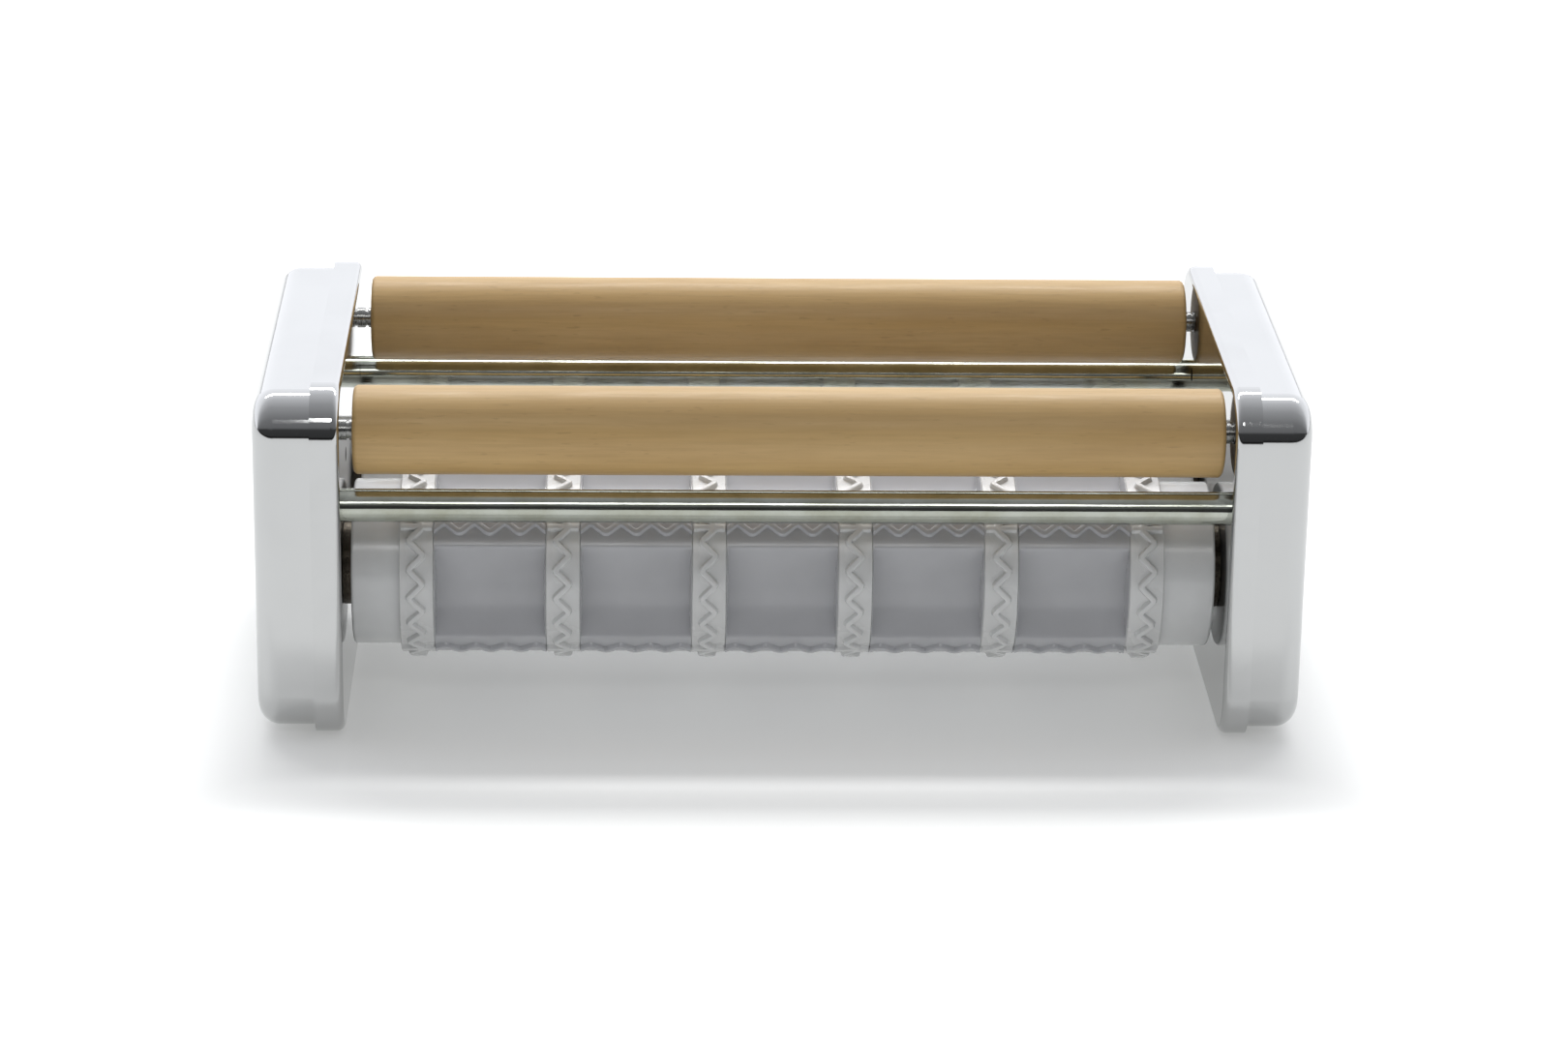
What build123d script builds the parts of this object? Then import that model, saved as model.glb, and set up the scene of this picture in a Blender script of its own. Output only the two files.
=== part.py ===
"""Two-roller ravioli unit for a hand-cranked pasta machine.

Two forming rollers with pockets stand side by side between two chromed end housings. The left housing
hides the gear pair that turns them together, and the right one has the socket for the hand crank. Two
wooden rollers above them guide the dough sheets, and two rolled steel bars hold the housings apart.

Frame: +X to the right along the rollers, +Y to the rear, +Z up. The origin is the centre of the footprint.
Everything is in millimetres.
"""

from build123d import *
from math import acos, cos, degrees, pi, radians, sin, tan
import os

os.makedirs("parts", exist_ok=True)

# ---- end housings -------------------------------------------------------------------------------------
unit_length = 213.8            # over both covers
left_housing_width = 17.7      # the gear side is a little wider
right_housing_width = 16.1
pan_depth = 101.0              # front to back
pan_height = 75.0
pan_corner = 10.0
pan_sheet = 1.0
pan_bend = 1.6                 # outer radius of the bend between plate and rim
left_rim_width = 5.9
right_rim_width = 5.4
cover_inset = 1.4              # the rim stands this far proud of the cover
cover_sheet = 0.8
cover_edge = 4.5               # radius between the cover's face and its sides
cover_nesting = 3.0            # how deep the cover's skirt goes into the rim
hole_clearance = 0.05          # radial, of a rod or an axle end in its hole
thread_clearance = 0.02        # radial, of a thread in its nut or post

# ---- forming rollers ----------------------------------------------------------------------------------
roller_spacing = 40.0          # between the two forming rollers, and the gears' pitch diameter
roller_height = 29.0
pocket_pitch = 30.0
pocket_count = 5
rows_around = 4
rib_width = 7.05
rib_radius = 18.85
wall_height = 0.95             # the crimping walls stand this far above the ribs
wall_width = 1.15              # of a crimping wall, half way up
end_sleeve_radius = 17.15
end_sleeve_edge = 0.6
rib_edge = 0.25                # chamfer of a rib's rims
ridge_width = 8.4              # width of the lands between two pockets
ridge_angle = 42.0             # first ridge, above the horizontal on the roller's outer side
pocket_depth = 5.75            # below the rib radius
pocket_draft = 4.0             # degrees, on the pocket's end walls
pocket_edge = 0.6              # rounding of a pocket's long edges
end_wall = 0.1                 # thickness of a pocket's end wall at the surface
wave_length = 6.2              # of the crimping wall along a ridge
ridge_wave_height = 1.7        # of its centre line, from crest to trough
rib_wave_height = 2.8
waves_per_quarter = 5          # along a rib, from one ridge line to the next
cross_wall_width = 2.0         # of the straight wall that crosses a rib on each ridge line
cross_wall_corner = 0.6
wall_foot = 0.4                # how deep a crimping wall starts below the surface
pocket_core = 1.0              # a pocket's end wall starts this far below the pocket's floor

# ---- shafts, bushes and drive -------------------------------------------------------------------------
hex_across_flats = 12.0
hex_clearance = 0.06
journal_radius = 5.0
running_clearance = 0.05
bush_radius = 7.0
bush_flange_radius = 9.0
bush_flange = 1.0
bush_length = 4.5
end_play = 0.15
stack_offset = -0.4            # the ribs sit this far from the middle, and the end sleeves make it up
gear_teeth = 32
gear_width = 7.0
gear_backlash = 0.15           # taken off each tooth at the pitch circle
flank_start = 0.01             # the flanks start this far outside the base circle
tooth_root_depth = 0.3         # how far a tooth reaches under its root
gear_rim = 3.0                 # under the teeth's roots
gear_hub_radius = 9.0
gear_flat_clearance = 0.03
pressure_angle = 20.0
flat_depth = 1.2               # of the flat that drives the gear
clip_groove_radius = 4.0
clip_thickness = 1.0
clip_radius = 7.0
clip_mouth = 4.5
socket_radius = 7.0
socket_bore_radius = 4.05
socket_grip = 5.0              # length of the socket that sits on the shaft
socket_slot_width = 3.0
socket_slot_depth = 3.0
socket_pin_radius = 1.25
pin_recess = 0.3               # of the pin's ends below the socket's surface
press_clearance = 0.01         # radial, of the socket on its shaft and of its pin
socket_hole_clearance = 0.6    # radial, in the right cover
socket_edge = 0.4
shaft_stub = 1.2               # of a shaft beyond its clip
gear_gap = 0.3                 # between a bush and the gear or the socket
gear_web_depth = 1.5           # of the recess in each face of a gear

# ---- guide rollers ------------------------------------------------------------------------------------
guide_spacing = 74.0
guide_height = 63.8
guide_radius = 9.05
guide_length = 176.3
guide_edge = 1.0
guide_offset = 0.5             # the wooden rollers float on their axles and have slid to the right
axle_radius = 2.15
axle_groove_depth = 0.35
axle_groove_width = 0.6
axle_end_radius = 1.5

# ---- cross bars and fasteners -------------------------------------------------------------------------
bar_spacing = 91.5             # over both beads
bar_bottom = 46.1
bar_sheet = 0.6
bead_radius = 3.3              # the strip is rolled round the tie rod
flange_length = 1.4            # of the flat above the bead, which leans inwards
flange_angle = 58.0            # of the flange's lean from the vertical
hem_radius = 0.5               # folded edge at the flange's top
tie_rod_radius = 1.5
nut_across_flats = 5.5
nut_thickness = 2.4
stud_length = 4.4              # thread standing out of the plate's outer face
post_radius = 3.0
cover_screw_radius = 1.5
cover_screw_length = 9.0
screw_head_radius = 3.2        # countersunk at 45 degrees, flush with the cover
screw_head_clearance = 0.05
screw_cross_length = 3.4       # the cross recess in a screw's head
screw_cross_width = 0.7
screw_cross_depth = 1.1
rod_end_chamfer = 0.4
cover_screw_height = 55.0      # of a cover's two screws
cover_screw_spacing = 54.0

# ---- worked out from the above ------------------------------------------------------------------------
left_plate = -unit_length / 2 + left_housing_width     # inner face of the left plate
right_plate = unit_length / 2 - right_housing_width    # inner face of the right plate
middle = (left_plate + right_plate) / 2                # the rollers' middle along X
inner_gap = right_plate - left_plate
sides = {"left": -1, "right": 1}
plates = {"left": left_plate, "right": right_plate}
rim_widths = {"left": left_rim_width, "right": right_rim_width}
covers = {"left": -unit_length / 2, "right": unit_length / 2}
rows = {"front": -1, "rear": 1}
stack_end_gap = bush_flange + end_play
stack_middle = middle + stack_offset
guide_start = middle + guide_offset - guide_length / 2
ribbed_length = pocket_count * pocket_pitch + rib_width


def save(block, name):
    """Label a finished piece and write it to its own file."""
    block.part.label = name
    export_step(block.part, f"parts/{name}.step")


def along_x(x, y=0.0, z=0.0):
    """A sketch plane square to X: its own x runs to the rear and its own y runs up."""
    return Plane(origin=(x, y, z), x_dir=(0, 1, 0), z_dir=(1, 0, 0))


def span(start_x, end_x):
    """Extrusion length from one place on X to another."""
    return end_x - start_x


# ======================================================================================================
# End pans: a pressed plate whose rim is turned outwards. It carries the bushes, axles and bars.
# ======================================================================================================
half_height = pan_height / 2
bead_line = bar_spacing / 2 - bead_radius
bead_height = bar_bottom + bead_radius
post_places = [(y * cover_screw_spacing / 2, cover_screw_height) for y in (-1, 1)]
head_depth = screw_head_radius - cover_screw_radius
cover_depth = pan_depth - 2 * cover_inset
cover_height = pan_height - 2 * cover_inset

for side, sign in sides.items():
    plate = plates[side]
    rim_edge = plate + sign * rim_widths[side]
    with BuildPart() as pan:
        with BuildSketch(along_x(plate, 0, half_height)):
            RectangleRounded(pan_depth, pan_height, pan_corner)
        extrude(amount=span(plate, rim_edge))
        fillet(pan.faces().sort_by(Axis.X)[0 if sign > 0 else -1].edges(), pan_bend)
        offset(amount=-pan_sheet, openings=pan.faces().sort_by(Axis.X)[-1 if sign > 0 else 0])
        with BuildSketch(along_x(plate)):
            with Locations((-roller_spacing / 2, roller_height), (roller_spacing / 2, roller_height)):
                Circle(bush_radius)
            with Locations((-guide_spacing / 2, guide_height), (guide_spacing / 2, guide_height)):
                Circle(axle_end_radius + hole_clearance)
            with Locations((-bead_line, bead_height), (bead_line, bead_height)):
                Circle(tie_rod_radius + hole_clearance)
            with Locations(*post_places):
                Circle(cover_screw_radius)
        extrude(amount=sign * pan_sheet, mode=Mode.SUBTRACT)
    save(pan, f"{side}_end_pan")

# ======================================================================================================
# Covers: deep-drawn shells whose skirts sit inside the pans' rims.
# ======================================================================================================
for side, sign in sides.items():
    face = covers[side]
    skirt = plates[side] + sign * (rim_widths[side] - cover_nesting)
    with BuildPart() as cover:
        with BuildSketch(along_x(skirt, 0, half_height)):
            RectangleRounded(cover_depth, cover_height, pan_corner - cover_inset)
        extrude(amount=span(skirt, face))
        fillet(cover.faces().sort_by(Axis.X)[-1 if sign > 0 else 0].edges(), cover_edge)
        offset(amount=-cover_sheet, openings=cover.faces().sort_by(Axis.X)[0 if sign > 0 else -1])
        with BuildSketch(along_x(face)):
            with Locations(*post_places):
                Circle(screw_head_radius)
        extrude(amount=-sign * head_depth, taper=45, mode=Mode.SUBTRACT)
        if side == "right":
            with BuildSketch(along_x(face, -roller_spacing / 2, roller_height)):
                Circle(socket_radius + socket_hole_clearance)
            extrude(amount=-sign * cover_sheet, mode=Mode.SUBTRACT)
    save(cover, f"{side}_cover")

# ======================================================================================================
# Posts riveted to the plates, and the screws that hold the covers to them.
# ======================================================================================================
with BuildPart() as posts:
    for side, sign in sides.items():
        foot = plates[side] + sign * pan_sheet
        top = covers[side] - sign * cover_sheet
        with BuildSketch(along_x(foot)):
            with Locations(*post_places):
                Circle(post_radius)
                Circle(cover_screw_radius + thread_clearance, mode=Mode.SUBTRACT)
        extrude(amount=span(foot, top))
        with BuildSketch(along_x(top)):
            with Locations(*post_places):
                Circle(screw_head_radius - cover_sheet)
        extrude(amount=-sign * (head_depth - cover_sheet), taper=45, mode=Mode.SUBTRACT)
save(posts, "cover_posts")

with BuildPart() as cover_screws:
    for side, sign in sides.items():
        with BuildSketch(along_x(covers[side])):
            with Locations(*post_places):
                Circle(screw_head_radius - screw_head_clearance)
        extrude(amount=-sign * head_depth, taper=45)
        with BuildSketch(along_x(covers[side])):
            with Locations(*post_places):
                Circle(cover_screw_radius)
        extrude(amount=-sign * cover_screw_length)
        with BuildSketch(along_x(covers[side])):
            with Locations(*post_places):
                Rectangle(screw_cross_length, screw_cross_width)
                Rectangle(screw_cross_width, screw_cross_length)
        extrude(amount=-sign * screw_cross_depth, mode=Mode.SUBTRACT)
save(cover_screws, "cover_screws")

# ======================================================================================================
# Cross bars: strip rolled into a bead, with a flange above it that leans inwards and ends in a hem. A tie
# rod runs in the bead.
# ======================================================================================================
for row, outward in rows.items():
    bead_center = (outward * bead_line, bead_height)
    lean = radians(flange_angle)
    flange_normal = Vector(outward * cos(lean), sin(lean))
    flange_run = Vector(-outward * sin(lean), cos(lean))
    flange_start = Vector(*bead_center) + flange_normal * bead_radius
    flange_middle = flange_start + flange_run * (flange_length / 2) - flange_normal * (bar_sheet / 2)
    hem_center = flange_start + flange_run * flange_length - flange_normal * (bar_sheet / 2)
    with BuildPart() as bar:
        with BuildSketch(along_x(left_plate)):
            with Locations(bead_center):
                Circle(bead_radius)
            with Locations(flange_middle):
                Rectangle(bar_sheet, flange_length, rotation=outward * flange_angle)
            with Locations(hem_center):
                Circle(hem_radius)
            with Locations(bead_center):
                Circle(bead_radius - bar_sheet, mode=Mode.SUBTRACT)
        extrude(amount=inner_gap)
    save(bar, f"{row}_cross_bar")

    with BuildPart() as tie_rod:
        with Locations(along_x(left_plate - pan_sheet - stud_length, *bead_center)):
            Cylinder(tie_rod_radius, inner_gap + 2 * (pan_sheet + stud_length),
                     align=(Align.CENTER, Align.CENTER, Align.MIN))
        chamfer(tie_rod.edges(), rod_end_chamfer)
    save(tie_rod, f"{row}_tie_rod")

# ======================================================================================================
# Guide rollers: turned beech on fixed steel axles that shoulder against the plates.
# ======================================================================================================
for row, outward in rows.items():
    center = (outward * guide_spacing / 2, guide_height)
    with BuildPart() as axle:
        with Locations(along_x(left_plate, *center)):
            Cylinder(axle_radius, inner_gap, align=(Align.CENTER, Align.CENTER, Align.MIN))
        groove_places = [(left_plate + guide_start) / 2, (right_plate + guide_start + guide_length) / 2]
        for groove_x in groove_places:
            with BuildSketch(along_x(groove_x, *center)):
                Circle(axle_radius + 1)
                Circle(axle_radius - axle_groove_depth, mode=Mode.SUBTRACT)
            extrude(amount=axle_groove_width / 2, both=True, mode=Mode.SUBTRACT)
        with Locations(along_x(left_plate - pan_sheet - stud_length, *center)):
            Cylinder(axle_end_radius, inner_gap + 2 * (pan_sheet + stud_length),
                     align=(Align.CENTER, Align.CENTER, Align.MIN))
        end_faces = [axle.faces().sort_by(Axis.X)[0], axle.faces().sort_by(Axis.X)[-1]]
        chamfer(end_faces[0].edges() + end_faces[1].edges(), rod_end_chamfer)
    save(axle, f"{row}_guide_axle")

    with BuildPart() as guide:
        with Locations(along_x(guide_start, *center)):
            Cylinder(guide_radius, guide_length, align=(Align.CENTER, Align.CENTER, Align.MIN))
        fillet(guide.edges(), guide_edge)
        with Locations(along_x(guide_start, *center)):
            Cylinder(axle_radius + running_clearance, guide_length,
                     align=(Align.CENTER, Align.CENTER, Align.MIN), mode=Mode.SUBTRACT)
    save(guide, f"{row}_guide_roller")

# ======================================================================================================
# Nuts on the axle ends and on the tie rods, on the plates' outer faces.
# ======================================================================================================
nut_groups = {
    "axle_nuts": (axle_end_radius, [(y * guide_spacing / 2, guide_height) for y in (-1, 1)]),
    "tie_rod_nuts": (tie_rod_radius, [(y * bead_line, bead_height) for y in (-1, 1)]),
}
for name, (thread_radius, places) in nut_groups.items():
    with BuildPart() as nuts:
        for side, sign in sides.items():
            seat = plates[side] + sign * pan_sheet
            with BuildSketch(along_x(seat)):
                with Locations(*places):
                    RegularPolygon(nut_across_flats / 2, 6, major_radius=False)
                    Circle(thread_radius + thread_clearance, mode=Mode.SUBTRACT)
            extrude(amount=sign * nut_thickness)
    save(nuts, name)

# ======================================================================================================
# Flanged bushes, pressed into the plates from the inside.
# ======================================================================================================
for row, outward in rows.items():
    for side, sign in sides.items():
        inner_face = plates[side] - sign * bush_flange
        center = (outward * roller_spacing / 2, roller_height)
        with BuildPart() as bush:
            with BuildSketch(along_x(inner_face, *center)):
                Circle(bush_flange_radius)
            extrude(amount=sign * bush_flange)
            with BuildSketch(along_x(plates[side], *center)):
                Circle(bush_radius)
            extrude(amount=sign * (bush_length - bush_flange))
            with BuildSketch(along_x(inner_face, *center)):
                Circle(journal_radius + running_clearance)
            extrude(amount=sign * bush_length, mode=Mode.SUBTRACT)
        save(bush, f"{row}_{side}_bush")

# ======================================================================================================
# One rib ring and one pocket drum, made about the X axis at the origin and then copied along the shafts.
# Angles run from the roller's outer side (-Y for the front roller) upwards.
# ======================================================================================================


def radial_plane(x, angle, radius, along=(1, 0, 0)):
    """A plane on the roller's surface, facing outwards at an angle above -Y."""
    outward = Vector(0, -cos(radians(angle)), sin(radians(angle)))
    return Plane(origin=outward * radius + Vector(x, 0, 0), x_dir=along, z_dir=outward)


wall_rise = wall_foot + wall_height
quarter = 360 / rows_around

rib_wave = []                  # corners of one quarter of the rib's wave, as (x, angle from the ridge line)
leg_angle = quarter / (2 * waves_per_quarter)
for corner in range(2 * waves_per_quarter + 1):
    x = rib_wave_height / 2 if corner % 2 == 0 else -rib_wave_height / 2
    rib_wave.append((x, corner * leg_angle))

leg_planes = []
corner_planes = []
cross_planes = []
leg_length = 0.0
for quadrant in range(rows_around):
    start = ridge_angle + quadrant * quarter
    foot_radius = rib_radius - wall_foot
    places = [radial_plane(x, start + angle, foot_radius).origin for x, angle in rib_wave]
    for first, second, (x0, angle0), (x1, angle1) in zip(places, places[1:], rib_wave, rib_wave[1:]):
        direction = second - first
        leg_length = direction.length
        normal = radial_plane(0, start + (angle0 + angle1) / 2, 1).z_dir
        leg_planes.append(Plane(origin=(first + second) * 0.5, x_dir=direction, z_dir=normal))
    corner_planes += [radial_plane(x, start + angle, foot_radius) for x, angle in rib_wave]
    cross_planes.append(radial_plane(0, start, foot_radius))

with BuildPart() as rib_ring:
    with BuildSketch(along_x(-rib_width / 2)):
        Circle(rib_radius)
        RegularPolygon(hex_across_flats / 2 + hex_clearance, 6, major_radius=False, mode=Mode.SUBTRACT)
    extrude(amount=rib_width)
    chamfer(rib_ring.edges().filter_by(GeomType.CIRCLE), rib_edge)
    with BuildSketch(*leg_planes):
        Rectangle(leg_length, wall_width)
    extrude(amount=wall_rise)
    with BuildSketch(*corner_planes):
        Circle(wall_width / 2)
    extrude(amount=wall_rise)
    with BuildSketch(*cross_planes):
        RectangleRounded(rib_width - 2 * rib_edge, cross_wall_width, cross_wall_corner)
    extrude(amount=wall_rise)

# The pocket drum: a cylinder with four scoops, and a wavy crimping wall on each land between them.
drum_width = pocket_pitch - rib_width
land_half_angle = degrees(ridge_width / 2 / rib_radius)
mouth_half_angle = quarter / 2 - land_half_angle
chord_half = rib_radius * sin(radians(mouth_half_angle))
chord_distance = rib_radius * cos(radians(mouth_half_angle))
sagitta = pocket_depth - (rib_radius - chord_distance)
scoop_radius = (chord_half ** 2 + sagitta ** 2) / (2 * sagitta)
scoop_center = chord_distance + scoop_radius - sagitta

ridge_wave = []                # corners of the wavy wall, from one end of the drum to the other
half_waves = int(drum_width / wave_length)
for corner in range(-half_waves, half_waves + 1):
    y = -ridge_wave_height / 2 if corner % 2 == 0 else ridge_wave_height / 2
    ridge_wave.append((corner * wave_length / 2, y))
last_x, last_y = ridge_wave[-1]
run_out = drum_width / 2 - last_x
end_y = last_y - 2 * last_y * run_out / (wave_length / 2)
ridge_wave = [(-drum_width / 2, end_y)] + ridge_wave + [(drum_width / 2, end_y)]

with BuildPart() as pocket_drum:
    with BuildSketch(along_x(-drum_width / 2)) as drum_section:
        Circle(rib_radius)
        with PolarLocations(scoop_center, rows_around, start_angle=180 - ridge_angle - quarter / 2):
            Circle(scoop_radius, mode=Mode.SUBTRACT)
        fillet(drum_section.vertices(), pocket_edge)
        RegularPolygon(hex_across_flats / 2 + hex_clearance, 6, major_radius=False, mode=Mode.SUBTRACT)
    extrude(amount=drum_width)
    for sign in sides.values():
        outer_x = sign * drum_width / 2
        core = rib_radius - pocket_depth - pocket_core
        wall_foot_width = end_wall + (rib_radius - core) * tan(radians(pocket_draft))
        with BuildSketch(Plane.XY):
            with BuildLine():
                Polyline((outer_x, core), (outer_x, rib_radius), (outer_x - sign * end_wall, rib_radius),
                         (outer_x - sign * wall_foot_width, core), close=True)
            make_face()
        revolve(axis=Axis.X)
    with BuildSketch(*[radial_plane(0, ridge_angle + k * quarter, rib_radius - wall_foot)
                       for k in range(rows_around)]):
        with BuildLine():
            Polyline(*ridge_wave)
        trace(line_width=wall_width)
    extrude(amount=wall_rise)
    with BuildSketch(along_x(-drum_width / 2)):
        Circle(rib_radius + wall_height)
    extrude(amount=drum_width, mode=Mode.INTERSECT)

# ======================================================================================================
# Forming rollers: ribs, drums and end sleeves threaded on a hexagonal shaft, one gear on the left.
# ======================================================================================================
gear_start = left_plate - (bush_length - bush_flange) - gear_gap
gear_end = gear_start - gear_width
shaft_left = gear_end - clip_thickness - shaft_stub
socket_start = right_plate + (bush_length - bush_flange) + gear_gap
socket_end = covers["right"]
rear_shaft_right = socket_start + clip_thickness + shaft_stub
front_shaft_right = socket_start + socket_grip

gear_module = roller_spacing / gear_teeth
pitch_radius = roller_spacing / 2
base_radius = pitch_radius * cos(radians(pressure_angle))
tip_radius = pitch_radius + 0.92 * gear_module
root_radius = pitch_radius - 1.25 * gear_module


def flank_point(radius, half_thickness):
    """A point on a tooth's involute flank, for a tooth centred on the sketch's own x axis."""
    roll = tan(acos(base_radius / radius)) - acos(base_radius / radius)
    pitch_roll = tan(radians(pressure_angle)) - radians(pressure_angle)
    angle = half_thickness / pitch_radius + pitch_roll - roll
    return (radius * cos(angle), radius * sin(angle))


half_tooth = pi * gear_module / 4 - gear_backlash / 2
flank_radii = [base_radius + flank_start, (base_radius + tip_radius) / 2, tip_radius]
upper_flank = [flank_point(radius, half_tooth) for radius in flank_radii]
lower_flank = [(x, -y) for x, y in upper_flank]
tooth_foot = root_radius - tooth_root_depth


def make_gear(first_tooth):
    """Gear sketch about its own centre, with its first tooth at the given angle."""
    with BuildSketch() as blank:
        Circle(root_radius)
        with BuildSketch(mode=Mode.PRIVATE) as tooth:
            with BuildLine():
                Line((tooth_foot, lower_flank[0][1]), lower_flank[0])
                ThreePointArc(*lower_flank)
                ThreePointArc(lower_flank[2], (tip_radius, 0), upper_flank[2])
                ThreePointArc(*reversed(upper_flank))
                Line(upper_flank[0], (tooth_foot, upper_flank[0][1]))
                Line((tooth_foot, upper_flank[0][1]), (tooth_foot, lower_flank[0][1]))
            make_face()
        with PolarLocations(0, gear_teeth, start_angle=first_tooth):
            add(tooth.sketch)
    return blank.sketch


rib_shapes = {"front": rib_ring.part, "rear": mirror(rib_ring.part, about=Plane.XZ, mode=Mode.PRIVATE)}
drum_shapes = {"front": pocket_drum.part, "rear": mirror(pocket_drum.part, about=Plane.XZ, mode=Mode.PRIVATE)}

for row, outward in rows.items():
    center = (outward * roller_spacing / 2, roller_height)

    def place(x):
        """Where a ring or drum made at the origin goes on this roller's axis."""
        return Location((x, center[0], center[1]))

    shaft_right = front_shaft_right if row == "front" else rear_shaft_right
    hex_start = left_plate + stack_end_gap
    hex_end = right_plate - stack_end_gap
    with BuildPart() as shaft:
        with BuildSketch(along_x(hex_start, *center)):
            RegularPolygon(hex_across_flats / 2, 6, major_radius=False)
        extrude(amount=hex_end - hex_start)
        with BuildSketch(along_x(shaft_left, *center)):
            Circle(journal_radius)
        extrude(amount=shaft_right - shaft_left)
        with BuildSketch(along_x(shaft_left, *center)):
            with Locations((0, journal_radius - flat_depth / 2)):
                Rectangle(2 * journal_radius, flat_depth)
        extrude(amount=gear_start - shaft_left, mode=Mode.SUBTRACT)
        grooves = [gear_end - clip_thickness]
        if row == "rear":
            grooves.append(socket_start)
        for groove in grooves:
            with BuildSketch(along_x(groove, *center)):
                Circle(journal_radius + 1)
                Circle(clip_groove_radius, mode=Mode.SUBTRACT)
            extrude(amount=clip_thickness, mode=Mode.SUBTRACT)
        if row == "front":
            with BuildSketch(Plane.XY.offset(center[1])):
                with Locations((socket_start + socket_grip / 2, center[0])):
                    Circle(socket_pin_radius)
            extrude(amount=2 * journal_radius, both=True, mode=Mode.SUBTRACT)
    save(shaft, f"{row}_roller_shaft")

    half_pitch = 180 / gear_teeth
    gear_sketch = make_gear(0 if row == "front" else half_pitch)
    with BuildPart() as gear:
        with BuildSketch(along_x(gear_end, *center)):
            add(gear_sketch)
            Circle(journal_radius, mode=Mode.SUBTRACT)
            with Locations((0, journal_radius - flat_depth / 2 + gear_flat_clearance)):
                Rectangle(2 * journal_radius, flat_depth)
        extrude(amount=gear_width)
        for web_face in (gear_end, gear_start - gear_web_depth):
            with BuildSketch(along_x(web_face, *center)):
                Circle(root_radius - gear_rim)
                Circle(gear_hub_radius, mode=Mode.SUBTRACT)
            extrude(amount=gear_web_depth, mode=Mode.SUBTRACT)
    save(gear, f"{row}_gear")

    with BuildPart() as clips:
        for groove in grooves:
            with BuildSketch(along_x(groove, *center)):
                Circle(clip_radius)
                Circle(clip_groove_radius, mode=Mode.SUBTRACT)
                with Locations((0, -clip_radius)):
                    Rectangle(clip_mouth, 2 * clip_radius, mode=Mode.SUBTRACT)
            extrude(amount=clip_thickness)
    save(clips, f"{row}_shaft_clip" + ("s" if len(grooves) > 1 else ""))

    sleeve_spans = {
        "left": (hex_start, stack_middle - ribbed_length / 2),
        "right": (stack_middle + ribbed_length / 2, hex_end),
    }
    for side, (start, end) in sleeve_spans.items():
        with BuildPart() as sleeve:
            with BuildSketch(along_x(start, *center)):
                Circle(end_sleeve_radius)
                RegularPolygon(hex_across_flats / 2 + hex_clearance, 6, major_radius=False, mode=Mode.SUBTRACT)
            extrude(amount=end - start)
            outer_face = sleeve.faces().sort_by(Axis.X)[0 if side == "left" else -1]
            fillet(outer_face.edges().filter_by(GeomType.CIRCLE), end_sleeve_edge)
        save(sleeve, f"{row}_{side}_end_sleeve")

    for index in range(pocket_count + 1):
        x = stack_middle + (index - pocket_count / 2) * pocket_pitch
        with BuildPart() as rib:
            add(rib_shapes[row])
        rib.part.locate(place(x))
        save(rib, f"{row}_rib_{index + 1}")

    for index in range(pocket_count):
        x = stack_middle + (index - (pocket_count - 1) / 2) * pocket_pitch
        with BuildPart() as drum:
            add(drum_shapes[row])
        drum.part.locate(place(x))
        save(drum, f"{row}_pocket_drum_{index + 1}")

# ======================================================================================================
# Crank socket on the front shaft's right end, and the pin that holds it.
# ======================================================================================================
front_axis = (-roller_spacing / 2, roller_height)
with BuildPart() as crank_socket:
    with BuildSketch(along_x(socket_start, *front_axis)):
        Circle(socket_radius)
    extrude(amount=socket_end - socket_start)
    chamfer(crank_socket.edges(), socket_edge)
    with BuildSketch(along_x(socket_start, *front_axis)):
        Circle(journal_radius + press_clearance)
    extrude(amount=socket_grip, mode=Mode.SUBTRACT)
    with BuildSketch(along_x(socket_start + socket_grip, *front_axis)):
        Circle(socket_bore_radius)
    extrude(amount=socket_end - socket_start - socket_grip, mode=Mode.SUBTRACT)
    with BuildSketch(along_x(socket_end - socket_slot_depth, *front_axis)):
        Rectangle(2 * socket_radius + 1, socket_slot_width)
    extrude(amount=socket_slot_depth, mode=Mode.SUBTRACT)
    with BuildSketch(Plane.XY.offset(roller_height)):
        with Locations((socket_start + socket_grip / 2, front_axis[0])):
            Circle(socket_pin_radius)
    extrude(amount=2 * socket_radius, both=True, mode=Mode.SUBTRACT)
save(crank_socket, "crank_socket")

with BuildPart() as socket_pin:
    with BuildSketch(Plane.XY.offset(roller_height)):
        with Locations((socket_start + socket_grip / 2, front_axis[0])):
            Circle(socket_pin_radius - press_clearance)
    extrude(amount=socket_radius - pin_recess, both=True)
save(socket_pin, "crank_socket_pin")
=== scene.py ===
"""Looks of the two-roller ravioli unit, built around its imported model.

The unit stands on a pale floor. +X runs to the right along the rollers, +Y to the rear, +Z up, in metres.
"""
from math import asin, cos, hypot, pi, radians, sin, sqrt, tan

import bmesh
import bpy
from mathutils import Matrix, Vector


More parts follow.
